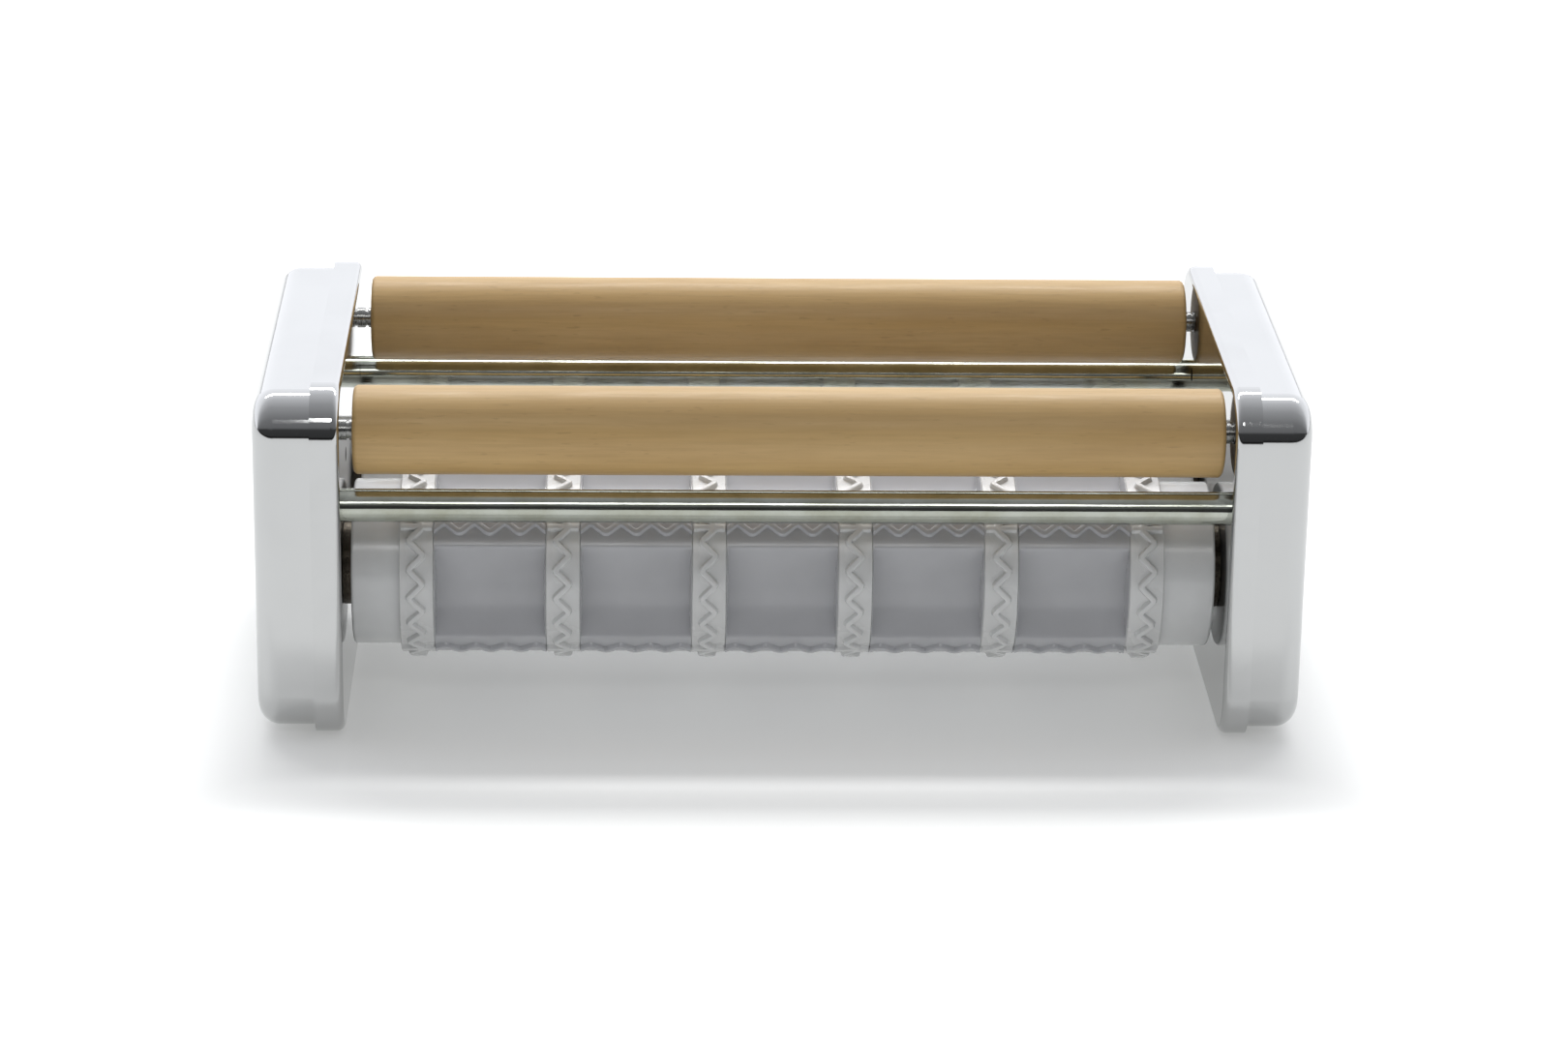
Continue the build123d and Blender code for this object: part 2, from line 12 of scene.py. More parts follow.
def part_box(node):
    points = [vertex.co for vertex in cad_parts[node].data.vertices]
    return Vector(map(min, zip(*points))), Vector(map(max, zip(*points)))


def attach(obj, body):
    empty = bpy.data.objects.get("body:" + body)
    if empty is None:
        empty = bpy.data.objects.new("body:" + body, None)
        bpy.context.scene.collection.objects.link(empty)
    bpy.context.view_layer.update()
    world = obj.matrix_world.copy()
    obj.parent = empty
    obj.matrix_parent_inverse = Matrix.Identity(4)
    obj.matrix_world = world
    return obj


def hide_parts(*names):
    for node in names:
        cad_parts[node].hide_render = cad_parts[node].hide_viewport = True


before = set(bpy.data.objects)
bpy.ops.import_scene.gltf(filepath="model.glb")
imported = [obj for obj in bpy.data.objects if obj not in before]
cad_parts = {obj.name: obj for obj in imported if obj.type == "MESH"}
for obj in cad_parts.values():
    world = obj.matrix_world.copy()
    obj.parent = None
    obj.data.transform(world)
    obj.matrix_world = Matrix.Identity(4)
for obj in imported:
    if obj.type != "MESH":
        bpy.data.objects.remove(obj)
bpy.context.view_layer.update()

# ---- Camera -------------------------------------------------------------------------------------------
# A long lens, about a metre in front of the unit and well above it, looking down on the rollers.
camera_place = Vector((-0.0315, -0.9463, 0.3801))
camera_heading = radians(2.02)      # to the right of +Y
camera_pitch = radians(20.27)       # below the horizon
camera_roll = radians(0.92)
camera_data = bpy.data.cameras.new("camera")
camera_data.sensor_width = 36.0
camera_data.lens = 108.9
camera_data.clip_start = 0.05
camera_data.clip_end = 60.0
camera = bpy.data.objects.new("camera", camera_data)
bpy.context.scene.collection.objects.link(camera)
camera.matrix_world = (
    Matrix.Translation(camera_place)
    @ Matrix.Rotation(-camera_heading, 4, "Z")
    @ Matrix.Rotation(pi / 2 - camera_pitch, 4, "X")
    @ Matrix.Rotation(camera_roll, 4, "Z")
)
bpy.context.scene.camera = camera
bpy.context.scene.view_settings.view_transform = "Standard"

# ---- Table --------------------------------------------------------------------------------------------
# A matt white table with a painted glow in place of light from below. The glow is dimmer in a painted shadow
# round the unit, brighter past it, and brighter still where the camera sees it. Its front edge is near the
# unit, and past that edge the metal sees only the dim room, while the table itself is shown running on.


def calculate(tree, operation, *values):
    """The result of one operation on numbers and on other nodes' outputs."""
    node = tree.nodes.new("ShaderNodeMath")
    node.operation = operation
    for socket, value in zip(node.inputs, values):
        if isinstance(value, (int, float)):
            socket.default_value = value
        else:
            tree.links.new(value, socket)
    return node.outputs[0]


def map_range(tree, value, low, high, to_low=0.0, to_high=1.0, smooth=False):
    """A clamped change of range of one value."""
    node = tree.nodes.new("ShaderNodeMapRange")
    if smooth:
        node.interpolation_type = "SMOOTHSTEP"
    for label, number in (("From Min", low), ("From Max", high), ("To Min", to_low), ("To Max", to_high)):
        node.inputs[label].default_value = number
    tree.links.new(value, node.inputs["Value"])
    return node.outputs[0]


floor_half = 12.0
floor_mesh = bpy.data.meshes.new("floor")
floor_mesh.from_pydata(
    [(-floor_half, -floor_half, 0), (floor_half, -floor_half, 0),
     (floor_half, floor_half, 0), (-floor_half, floor_half, 0)],
    [], [(0, 1, 2, 3)])
floor = bpy.data.objects.new("floor", floor_mesh)
floor.location.z = -0.0002
bpy.context.scene.collection.objects.link(floor)
floor_paint = bpy.data.materials.new("floor_paint")
floor_paint.use_nodes = True
tree = floor_paint.node_tree
floor_shader = tree.nodes["Principled BSDF"]
floor_shader.inputs["Base Color"].default_value = (0.69, 0.693, 0.689, 1)
floor_shader.inputs["Roughness"].default_value = 0.9
floor_shader.inputs["Specular IOR Level"].default_value = 0.1
floor_shader.inputs["Emission Color"].default_value = (0.985, 0.995, 0.98, 1)
seen_by_camera = tree.nodes.new("ShaderNodeLightPath").outputs["Is Camera Ray"]
table_place = tree.nodes.new("ShaderNodeTexCoord")
table_axes = tree.nodes.new("ShaderNodeSeparateXYZ")
tree.links.new(table_place.outputs["Object"], table_axes.inputs[0])

pool_half_width = 0.126             # of the painted shadow round the unit
pool_half_depth = 0.088
pool_corner = 0.15                  # how far its corners are rounded, as a share of its half size
reach_x = calculate(tree, "DIVIDE", calculate(tree, "ABSOLUTE", table_axes.outputs["X"]), pool_half_width)
reach_y = calculate(tree, "DIVIDE", calculate(tree, "ABSOLUTE", table_axes.outputs["Y"]), pool_half_depth)
pool_reach = calculate(tree, "SMOOTH_MAX", reach_x, reach_y, pool_corner)
past_pool = map_range(tree, pool_reach, 0.80, 1.16, smooth=True)

painted_glow_near_unit = 0.265             # painted glow next to the unit, standing in for light from below
painted_glow_past_pool = 0.08              # painted glow added past the painted shadow, and how much more of it the camera sees
painted_glow_for_camera = 0.46
# Painted glow: brighter past the painted shadow, and brighter still where the camera sees the floor.
added_painted_glow = calculate(tree, "MULTIPLY_ADD", seen_by_camera, painted_glow_for_camera, painted_glow_past_pool)
painted_floor_glow = calculate(tree, "MULTIPLY_ADD", past_pool, added_painted_glow, painted_glow_near_unit)
tree.links.new(painted_floor_glow, floor_shader.inputs["Emission Strength"])

past_edge = map_range(tree, table_axes.outputs["Y"], -0.55, -0.85)
only_mirrored = calculate(tree, "SUBTRACT", past_edge, seen_by_camera)
only_mirrored.node.use_clamp = True
dark_room = tree.nodes.new("ShaderNodeEmission")
dark_room.inputs["Color"].default_value = (0.02, 0.02, 0.02, 1)
floor_mix = tree.nodes.new("ShaderNodeMixShader")
tree.links.new(only_mirrored, floor_mix.inputs[0])
tree.links.new(floor_shader.outputs[0], floor_mix.inputs[1])
tree.links.new(dark_room.outputs[0], floor_mix.inputs[2])
tree.links.new(floor_mix.outputs[0], tree.nodes["Material Output"].inputs["Surface"])
floor_mesh.materials.append(floor_paint)

# ---- Studio light -------------------------------------------------------------------------------------
# A white wall behind, a dim room in front, a long soft box overhead and a squarer one in front.
room_steps = [                      # degrees from the front horizon over the top to the rear, brightness
    (0, 0.05), (17, 0.06), (23, 0.20), (45, 0.26), (80, 0.48), (108, 0.80), (118, 1.00), (134, 1.25),
    (146, 1.30), (160, 1.42), (180, 1.42),
]
room_cast = (0.98, 0.995, 1.04)
world = bpy.data.worlds.new("studio")
world.use_nodes = True
bpy.context.scene.world = world
tree = world.node_tree
tree.nodes.clear()
direction = tree.nodes.new("ShaderNodeTexCoord")
split = tree.nodes.new("ShaderNodeSeparateXYZ")
tree.links.new(direction.outputs["Generated"], split.inputs[0])
forward = calculate(tree, "MULTIPLY", split.outputs["Y"], -1.0)
swing = calculate(tree, "ARCTAN2", split.outputs["Z"], forward)
room = tree.nodes.new("ShaderNodeValToRGB")
ramp = room.color_ramp
while len(ramp.elements) < len(room_steps):
    ramp.elements.new(0.5)
for element, (angle, level) in zip(ramp.elements, room_steps):
    element.position = angle / 180
    element.color = (*[level * cast for cast in room_cast], 1)
tree.links.new(calculate(tree, "DIVIDE", swing, pi), room.inputs[0])
room_light = tree.nodes.new("ShaderNodeBackground")
tree.links.new(room.outputs["Color"], room_light.inputs["Color"])
backdrop = tree.nodes.new("ShaderNodeBackground")         # what the camera itself sees past the table
backdrop.inputs["Color"].default_value = (1, 1, 1, 1)
seen_by_camera = tree.nodes.new("ShaderNodeLightPath").outputs["Is Camera Ray"]
world_mix = tree.nodes.new("ShaderNodeMixShader")
tree.links.new(seen_by_camera, world_mix.inputs[0])
tree.links.new(room_light.outputs[0], world_mix.inputs[1])
tree.links.new(backdrop.outputs[0], world_mix.inputs[2])
world_output = tree.nodes.new("ShaderNodeOutputWorld")
tree.links.new(world_mix.outputs[0], world_output.inputs[0])

soft_boxes = {                      # place, the point it is turned to, width, height, watts
    "overhead_box": ((0.0, 0.78, 1.10), (0, 0, 0), 1.7, 0.14, 12),
    "front_box": ((0.044, -1.55, 1.35), (0, 0, 0.05), 0.532, 0.30, 2.6),
}
for name, (place, aim, width, height, watts) in soft_boxes.items():
    box_data = bpy.data.lights.new(name, "AREA")
    box_data.shape = "RECTANGLE"
    box_data.size = width
    box_data.size_y = height
    box_data.energy = watts
    box_light = bpy.data.objects.new(name, box_data)
    bpy.context.scene.collection.objects.link(box_light)
    box_light.location = place
    box_light.rotation_euler = (Vector(aim) - Vector(place)).to_track_quat("-Z", "Y").to_euler()

# ---- End pans -----------------------------------------------------------------------------------------
# The two upright plates of pressed steel with out-turned rims that carry everything between them. They are
# bright chromium plate, wiped and handled, with faint smears and hairline scratches.


def effect_group(name, inputs, outputs):
    """A new shader node group with its sockets, returned with its two end nodes."""
    group = bpy.data.node_groups.new(name, "ShaderNodeTree")
    for label, kind, value in inputs:
        group.interface.new_socket(label, in_out="INPUT", socket_type=kind).default_value = value
    for label, kind in outputs:
        group.interface.new_socket(label, in_out="OUTPUT", socket_type=kind)
    return group, group.nodes.new("NodeGroupInput"), group.nodes.new("NodeGroupOutput")


def place_group(tree, group, **values):
    """A group set into a material with its own values; an underscore in a name stands for a space."""
    node = tree.nodes.new("ShaderNodeGroup")
    node.node_tree = group
    for label, value in values.items():
        node.inputs[label.replace("_", " ")].default_value = value
    return node


def new_finish(name, colour, roughness, metallic=0.0):
    """A material with its plain values set on its own shader."""
    material = bpy.data.materials.new(name)
    material.use_nodes = True
    shader = material.node_tree.nodes["Principled BSDF"]
    shader.inputs["Base Color"].default_value = (*colour, 1)
    shader.inputs["Roughness"].default_value = roughness
    shader.inputs["Metallic"].default_value = metallic
    return material, material.node_tree, shader


def blend_colours(tree, mask, first, second):
    """A mix of two colours by a mask."""
    node = tree.nodes.new("ShaderNodeMix")
    node.data_type = "RGBA"
    for label, colour in (("A", first), ("B", second)):
        if isinstance(colour, tuple):
            node.inputs[label].default_value = (*colour, 1)
        else:
            tree.links.new(colour, node.inputs[label])
    tree.links.new(mask, node.inputs["Factor"])
    return node.outputs["Result"]


def add_bump(tree, shader, height, depth, strength=1.0):
    """A relief of the given depth in metres on the shader's normal."""
    bump = tree.nodes.new("ShaderNodeBump")
    bump.inputs["Strength"].default_value = strength
    bump.inputs["Distance"].default_value = depth
    tree.links.new(height, bump.inputs["Height"])
    tree.links.new(bump.outputs[0], shader.inputs["Normal"])


# Handling marks: broad smears of wiping, and hairline scratches running mostly one way.
handling, inner, outer = effect_group(
    "handling_marks",
    [("Smear Scale", "NodeSocketFloat", 40.0), ("Scratch Stretch", "NodeSocketVector", (1, 1, 0.05))],
    [("Smears", "NodeSocketFloat"), ("Scratches", "NodeSocketFloat")])
place = handling.nodes.new("ShaderNodeTexCoord")
smear_noise = handling.nodes.new("ShaderNodeTexNoise")
smear_noise.inputs["Detail"].default_value = 5.0
smear_noise.inputs["Distortion"].default_value = 0.6
handling.links.new(place.outputs["Object"], smear_noise.inputs["Vector"])
handling.links.new(inner.outputs["Smear Scale"], smear_noise.inputs["Scale"])
handling.links.new(map_range(handling, smear_noise.outputs["Fac"], 0.40, 0.72, 0, 1), outer.inputs["Smears"])
scratch_lay = handling.nodes.new("ShaderNodeMapping")
scratch_lay.inputs["Rotation"].default_value = (0.12, 0.05, 0.0)
handling.links.new(place.outputs["Object"], scratch_lay.inputs["Vector"])
handling.links.new(inner.outputs["Scratch Stretch"], scratch_lay.inputs["Scale"])
scratch_noise = handling.nodes.new("ShaderNodeTexNoise")
scratch_noise.inputs["Scale"].default_value = 2600.0
scratch_noise.inputs["Detail"].default_value = 2.0
handling.links.new(scratch_lay.outputs[0], scratch_noise.inputs["Vector"])
handling.links.new(map_range(handling, scratch_noise.outputs["Fac"], 0.66, 0.74, 0, 1),
                   outer.inputs["Scratches"])


chromium = (0.555, 0.560, 0.558)
# A darker chromium for the pans' flat faces: a painted shade in the floor they mirror.
chromium_with_painted_shade = (0.375, 0.38, 0.376)
smear_shade = 0.955                 # of the plate's own colour, where it is smeared


def plate_in_chrome(name, colour, roughness, hazy, smear_scale, stretch, ripple):
    """Chromium plate: hazier where it is smeared, dulled along its scratches, faintly rippled."""
    material, tree, shader = new_finish(name, colour, roughness, metallic=1.0)
    marks = place_group(tree, handling, Smear_Scale=smear_scale, Scratch_Stretch=stretch)
    haze = map_range(tree, marks.outputs["Smears"], 0, 1, roughness, hazy)
    dull = map_range(tree, marks.outputs["Scratches"], 0, 1, 0, 0.10)
    tree.links.new(calculate(tree, "ADD", haze, dull), shader.inputs["Roughness"])
    smeared = tuple(smear_shade * c for c in colour)
    tree.links.new(blend_colours(tree, marks.outputs["Smears"], colour, smeared), shader.inputs["Base Color"])
    add_bump(tree, shader, marks.outputs["Smears"], ripple)
    return material


def dress(nodes, material):
    """Give carried-over CAD nodes a finish."""
    for node in nodes:
        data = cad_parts[node].data
        data.materials.clear()
        data.materials.append(material)


bright_plate = plate_in_chrome("bright_plate", chromium, 0.035, 0.07, 45.0, (1, 1, 0.05), 0.000004)
tree = bright_plate.node_tree       # the flat faces are painted darker, a painted shade on the floor they mirror
shader = tree.nodes["Principled BSDF"]
rim_colour = shader.inputs["Base Color"].links[0].from_socket
facing = tree.nodes.new("ShaderNodeNewGeometry")
facing_axes = tree.nodes.new("ShaderNodeSeparateXYZ")
tree.links.new(facing.outputs["Normal"], facing_axes.inputs[0])
painted_shade_on_flats = map_range(tree, calculate(tree, "ABSOLUTE", facing_axes.outputs["X"]), 0.90, 0.99)
tree.links.new(blend_colours(tree, painted_shade_on_flats, rim_colour, chromium_with_painted_shade), shader.inputs["Base Color"])
dress(["left_end_pan", "right_end_pan"], bright_plate)

# ---- End covers ---------------------------------------------------------------------------------------
# Deep-drawn steel shells that close the pans. They carry the same chromium plate, drawn and polished from
# top to bottom, which leaves it very slightly wavy.
cover_plate = plate_in_chrome("cover_plate", chromium, 0.045, 0.10, 28.0, (1, 1, 0.03), 0.000009)
dress(["left_cover", "right_cover"], cover_plate)

# ---- Cover posts and screws ---------------------------------------------------------------------------
# Turned posts riveted to the plates, and the countersunk screws with cross recesses that hold the covers
# to them. Both are zinc-plated steel with fine turning rings and a few darker blotches.

# Turning rings: fine rings round an axis that runs along X, which cutting leaves on turned metal.
turning, inner, outer = effect_group(
    "turning_rings",
    [("Fineness", "NodeSocketFloat", 9000.0), ("Blotch Scale", "NodeSocketFloat", 300.0)],
    [("Rings", "NodeSocketFloat"), ("Blotches", "NodeSocketFloat")])
place = turning.nodes.new("ShaderNodeTexCoord")
along = turning.nodes.new("ShaderNodeMapping")
along.inputs["Scale"].default_value = (1, 0.02, 0.02)
turning.links.new(place.outputs["Object"], along.inputs["Vector"])
ring_noise = turning.nodes.new("ShaderNodeTexNoise")
ring_noise.inputs["Detail"].default_value = 1.0
turning.links.new(along.outputs[0], ring_noise.inputs["Vector"])
turning.links.new(inner.outputs["Fineness"], ring_noise.inputs["Scale"])
turning.links.new(ring_noise.outputs["Fac"], outer.inputs["Rings"])
blotch_noise = turning.nodes.new("ShaderNodeTexNoise")
blotch_noise.inputs["Detail"].default_value = 4.0
turning.links.new(place.outputs["Object"], blotch_noise.inputs["Vector"])
turning.links.new(inner.outputs["Blotch Scale"], blotch_noise.inputs["Scale"])
turning.links.new(map_range(turning, blotch_noise.outputs["Fac"], 0.42, 0.70, 0, 1),
                  outer.inputs["Blotches"])


def turned_metal(name, colour, dark, roughness, fineness=9000.0, blotch_scale=300.0):
    """Turned metal: rings in its relief and roughness, darker where it is blotched."""
    material, tree, shader = new_finish(name, colour, roughness, metallic=1.0)
    marks = place_group(tree, turning, Fineness=fineness, Blotch_Scale=blotch_scale)
    tree.links.new(blend_colours(tree, marks.outputs["Blotches"], colour, dark), shader.inputs["Base Color"])
    tree.links.new(map_range(tree, marks.outputs["Rings"], 0.3, 0.7, roughness, roughness + 0.14),
                   shader.inputs["Roughness"])
    add_bump(tree, shader, marks.outputs["Rings"], 0.00001)
    return material


screw_zinc = turned_metal("screw_zinc", (0.62, 0.63, 0.62), (0.50, 0.51, 0.50), 0.24)
dress(["cover_posts", "cover_screws"], screw_zinc)

# ---- Cross bars ---------------------------------------------------------------------------------------
# Two strips of zinc-plated steel, rolled into a bead with a leaning flange and a folded top edge. Rolling
# drew long fine lines into them, and the plating has a faint greenish yellow cast.
bright_zinc = (0.47, 0.49, 0.44)
cloudy_zinc = (0.37, 0.38, 0.31)
bar_zinc, tree, shader = new_finish("bar_zinc", bright_zinc, 0.12, metallic=1.0)
place = tree.nodes.new("ShaderNodeTexCoord")
long_lines = tree.nodes.new("ShaderNodeMapping")
long_lines.inputs["Scale"].default_value = (0.02, 1, 1)
tree.links.new(place.outputs["Object"], long_lines.inputs["Vector"])
line_noise = tree.nodes.new("ShaderNodeTexNoise")
line_noise.inputs["Scale"].default_value = 2200.0
line_noise.inputs["Detail"].default_value = 3.0
tree.links.new(long_lines.outputs[0], line_noise.inputs["Vector"])
cloud_noise = tree.nodes.new("ShaderNodeTexNoise")
cloud_noise.inputs["Scale"].default_value = 90.0
cloud_noise.inputs["Detail"].default_value = 6.0
cloud_noise.inputs["Roughness"].default_value = 0.65
tree.links.new(place.outputs["Object"], cloud_noise.inputs["Vector"])
clouds = map_range(tree, cloud_noise.outputs["Fac"], 0.38, 0.66, 0, 1)
tree.links.new(blend_colours(tree, clouds, bright_zinc, cloudy_zinc), shader.inputs["Base Color"])
tree.links.new(map_range(tree, line_noise.outputs["Fac"], 0.35, 0.65, 0.07, 0.17), shader.inputs["Roughness"])
add_bump(tree, shader, line_noise.outputs["Fac"], 0.000012)
dress(["front_cross_bar", "rear_cross_bar"], bar_zinc)

# ---- Tie rods and nuts --------------------------------------------------------------------------------
# Threaded rods through the bars' beads and the nuts that clamp the plates on them, with the guide axles'
# own nuts. They are plain zinc-plated steel.
rod_zinc = turned_metal("rod_zinc", (0.58, 0.59, 0.58), (0.45, 0.46, 0.44), 0.28, fineness=5000.0)
dress(["front_tie_rod", "rear_tie_rod", "tie_rod_nuts", "axle_nuts"], rod_zinc)

# ---- Guide axles --------------------------------------------------------------------------------------
# Fixed steel axles for the wooden rollers, turned and left bright, with a groove near each end.
axle_steel = turned_metal("axle_steel", (0.34, 0.34, 0.33), (0.22, 0.22, 0.21), 0.20, fineness=12000.0)
dress(["front_guide_axle", "rear_guide_axle"], axle_steel)

# ---- Guide rollers ------------------------------------------------------------------------------------
# Turned beech, sanded and oiled, that spins freely on its axle. The grain runs along the roller: soft
# bands of growth, short dark flecks, and growth rings on the ends.
beech_light = (0.645, 0.432, 0.185)
beech_dark = (0.55, 0.352, 0.140)
beech, tree, shader = new_finish("beech", beech_light, 0.42)
shader.inputs["Specular IOR Level"].default_value = 0.42
place = tree.nodes.new("ShaderNodeTexCoord")


def grain_noise(stretch, scale, detail, roughness=0.5, distortion=0.0):
    """Noise drawn out along the roller."""
    lay = tree.nodes.new("ShaderNodeMapping")
    lay.inputs["Scale"].default_value = (stretch, 1, 1)
    lay.inputs["Location"].default_value = (0, 0.013, 0.021)
    tree.links.new(place.outputs["Object"], lay.inputs["Vector"])
    noise = tree.nodes.new("ShaderNodeTexNoise")
    noise.inputs["Scale"].default_value = scale
    noise.inputs["Detail"].default_value = detail
    noise.inputs["Roughness"].default_value = roughness
    noise.inputs["Distortion"].default_value = distortion
    tree.links.new(lay.outputs[0], noise.inputs["Vector"])
    return noise.outputs["Fac"]


growth = grain_noise(0.07, 170.0, 4.0, 0.6, 0.5)
fibres = grain_noise(0.045, 1500.0, 3.0, 0.6)
flecks = grain_noise(0.16, 1700.0, 1.0)
cloudy = grain_noise(0.5, 38.0, 4.0, 0.6)
bands = map_range(tree, growth, 0.35, 0.68, 0.0, 1.0)
wood_colour = blend_colours(tree, bands, beech_light, beech_dark)
fibre_mask = map_range(tree, fibres, 0.40, 0.70, 0.0, 0.36)
wood_colour = blend_colours(tree, fibre_mask, wood_colour, (0.46, 0.295, 0.120))
fleck_mask = map_range(tree, flecks, 0.66, 0.76, 0.0, 0.34)
wood_colour = blend_colours(tree, fleck_mask, wood_colour, (0.34, 0.205, 0.080))
cloud_mask = map_range(tree, cloudy, 0.42, 0.66, 0.0, 0.30)
wood_colour = blend_colours(tree, cloud_mask, wood_colour, (0.70, 0.490, 0.230))
tree.links.new(wood_colour, shader.inputs["Base Color"])
tree.links.new(map_range(tree, fibres, 0.35, 0.70, 0.36, 0.52), shader.inputs["Roughness"])
add_bump(tree, shader, fibres, 0.00003)
dress(["front_guide_roller", "rear_guide_roller"], beech)

# ---- Bushes -------------------------------------------------------------------------------------------
# Flanged bushes of sintered bronze, pressed into the plates from the inside. They are coloured nearly black,
# darker still at the pores.
bronze, tree, shader = new_finish("near_black_bronze", (0.13, 0.115, 0.09), 0.42, metallic=1.0)
place = tree.nodes.new("ShaderNodeTexCoord")
pore_noise = tree.nodes.new("ShaderNodeTexNoise")
pore_noise.inputs["Scale"].default_value = 3500.0
pore_noise.inputs["Detail"].default_value = 3.0
tree.links.new(place.outputs["Object"], pore_noise.inputs["Vector"])
pores = map_range(tree, pore_noise.outputs["Fac"], 0.48, 0.66, 0, 1)
tree.links.new(blend_colours(tree, pores, (0.14, 0.12, 0.095), (0.07, 0.06, 0.045)),
               shader.inputs["Base Color"])
tree.links.new(map_range(tree, pore_noise.outputs["Fac"], 0.4, 0.7, 0.34, 0.60), shader.inputs["Roughness"])
add_bump(tree, shader, pore_noise.outputs["Fac"], 0.00002)
dress([f"{row}_{side}_bush" for row in ("front", "rear") for side in ("left", "right")], bronze)

# ---- Shafts, gears and clips --------------------------------------------------------------------------
# Hexagonal steel shafts, the gear pair that turns them together and the clips that keep them in place. All
# are bright steel with a film of oil.
drive_steel = turned_metal("drive_steel", (0.52, 0.52, 0.51), (0.38, 0.37, 0.35), 0.22, blotch_scale=220.0)
dress(["front_roller_shaft", "rear_roller_shaft", "front_gear", "rear_gear", "front_shaft_clip",
       "rear_shaft_clips"], drive_steel)

# ---- Crank socket -------------------------------------------------------------------------------------
# The steel socket pinned on the front shaft, slotted for the hand crank's cross pin, worn where it seats.
socket_steel = turned_metal("socket_steel", (0.55, 0.55, 0.54), (0.34, 0.33, 0.31), 0.26, fineness=7000.0,
                            blotch_scale=480.0)
dress(["crank_socket", "crank_socket_pin"], socket_steel)

# ---- Rib rings ----------------------------------------------------------------------------------------
# Moulded rings of pale grey food-safe plastic on the hexagonal shafts, one each side of every pocket. Each
# carries a raised zigzag wall that crimps the dough, with a straight wall across it at each ridge line.
rib_width = 0.00705
rib_radius = 0.01885
rib_edge = 0.00018
bore_apothem = 0.00606
round_steps = 240                   # steps round a ring; a multiple of the four quarters and six flats
wall_height = 0.00095
wall_section = [                    # across a crimping wall: half width, height over the rib, in metres
    (0.00086, -0.00035), (0.00078, 0.00004), (0.00066, 0.00042), (0.00056, 0.00074), (0.00047, 0.00089),
    (0.00032, wall_height),
]
ridge_angle = radians(42)           # of a ridge line, above the horizontal on the roller's outer side
quarters = 4
quarter = 2 * pi / quarters
zigzag_half_height = 0.00122        # of the rib's zigzag, along the roller
zigzag_offset = -0.00015            # of its centre line from the rib's middle
legs_per_quarter = 10
rib_corner = 0.93                   # 1 is a sharp corner, and towards 0 the zigzag becomes a sine wave
land_corner = 0.86
path_steps = 120
crease_angle = radians(32)          # of the sharpest edge that is still shaded smooth

# Moulding marks: the cloudy flow of the plastic in its mould, and the fine grain of its skin.
moulding, inner, outer = effect_group(
    "moulding_marks",
    [("Flow Scale", "NodeSocketFloat", 120.0), ("Skin Scale", "NodeSocketFloat", 2400.0)],
    [("Flow", "NodeSocketFloat"), ("Skin", "NodeSocketFloat")])
place = moulding.nodes.new("ShaderNodeTexCoord")
flow_noise = moulding.nodes.new("ShaderNodeTexNoise")
flow_noise.inputs["Detail"].default_value = 5.0
moulding.links.new(place.outputs["Object"], flow_noise.inputs["Vector"])
moulding.links.new(inner.outputs["Flow Scale"], flow_noise.inputs["Scale"])
moulding.links.new(map_range(moulding, flow_noise.outputs["Fac"], 0.35, 0.68, 0, 1), outer.inputs["Flow"])
skin_noise = moulding.nodes.new("ShaderNodeTexNoise")
skin_noise.inputs["Detail"].default_value = 2.0
moulding.links.new(place.outputs["Object"], skin_noise.inputs["Vector"])
moulding.links.new(inner.outputs["Skin Scale"], skin_noise.inputs["Scale"])
moulding.links.new(skin_noise.outputs["Fac"], outer.inputs["Skin"])


def moulded_plastic(name, colour, roughness, flow_scale):
    """Glossy moulded plastic, a shade darker and a little duller along its flow marks."""
    material, tree, shader = new_finish(name, colour, roughness)
    shader.inputs["Subsurface Weight"].default_value = 0.25
    shader.inputs["Subsurface Scale"].default_value = 0.0010
    shader.inputs["Subsurface Radius"].default_value = (1, 1, 1)
    marks = place_group(tree, moulding, Flow_Scale=flow_scale)
    tree.links.new(blend_colours(tree, marks.outputs["Flow"], colour, tuple(0.93 * c for c in colour)),
                   shader.inputs["Base Color"])
    tree.links.new(map_range(tree, marks.outputs["Flow"], 0, 1, roughness, roughness + 0.07),
                   shader.inputs["Roughness"])
    add_bump(tree, shader, marks.outputs["Skin"], 0.000004)
    return material


rib_plastic = moulded_plastic("rib_plastic", (0.76, 0.765, 0.76), 0.24, 130.0)


def on_roller(x, angle, radius):
    """A point on a roller about the X axis; the angle runs from its outer side upwards."""
    return (x, -radius * cos(angle), radius * sin(angle))


def rounded_zigzag(leg, corner):
    """From 1 at an even number of legs to -1 at an odd one, straight between its rounded corners."""
    return asin(corner * cos(pi * leg)) / asin(corner)


def bore_radius(angle):
    """Of the hexagonal bore at an angle."""
    flat = pi / 3
    return bore_apothem / cos((angle + flat / 2) % flat - flat / 2)


def wall_strip(mesh, path, along_roller):
    """A closed crimping wall along (x, angle) points. Its width lies round the roller or along it."""
    section = [(-half, height) for half, height in wall_section]
    section += [(half, height) for half, height in reversed(wall_section)]
    loops = []
    for i, (x, angle) in enumerate(path):
        before, after = path[max(i - 1, 0)], path[min(i + 1, len(path) - 1)]
        run_x = after[0] - before[0]
        run_round = (after[1] - before[1]) * rib_radius
        widen = hypot(run_x, run_round) / abs(run_x if along_roller else run_round)
        loop = []
        for across, height in section:
            offset = across * widen
            if along_roller:
                point = on_roller(x, angle + offset / rib_radius, rib_radius + height)
            else:
                point = on_roller(x + offset, angle, rib_radius + height)
            loop.append(mesh.verts.new(point))
        loops.append(loop)
    for first, second in zip(loops, loops[1:]):
        for i in range(len(first)):
            j = (i + 1) % len(first)
            mesh.faces.new((first[i], first[j], second[j], second[i]))
    mesh.faces.new(loops[0])
    mesh.faces.new(list(reversed(loops[-1])))


